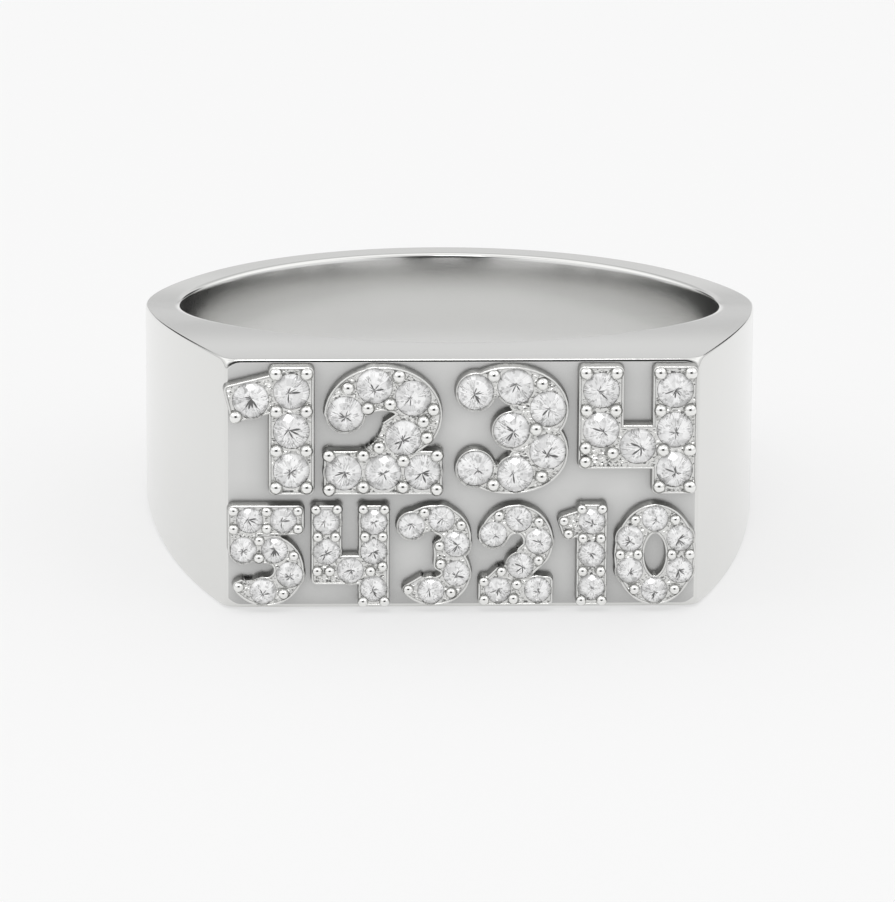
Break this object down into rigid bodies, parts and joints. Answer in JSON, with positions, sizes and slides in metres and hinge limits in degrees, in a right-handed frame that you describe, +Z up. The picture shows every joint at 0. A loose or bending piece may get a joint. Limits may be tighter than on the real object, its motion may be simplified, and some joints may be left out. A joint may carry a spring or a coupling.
{
  "type": "flat-top finger ring",
  "caption": "Flat-top finger ring whose oblong face carries two rows of raised numeral plates set with round stones.",
  "frame": {"origin": "middle of the bounding box's base, on the surface that the ring lies on", "axes": "+Z up, within 3 degrees of the finger hole's axis; -Y towards the face with the numerals; +X to the right of someone who looks at the face"},
  "size_m": [0.0224, 0.025, 0.0091],
  "materials": {
    "metal": "polished sterling silver, satin on the face",
    "stone": "clear round brilliant cut"
  },
  "bodies": {
    "root": {"ring_body": "metal", "stones_upper": "stone", "stones_lower": "stone"}
  },
  "joints": []
}
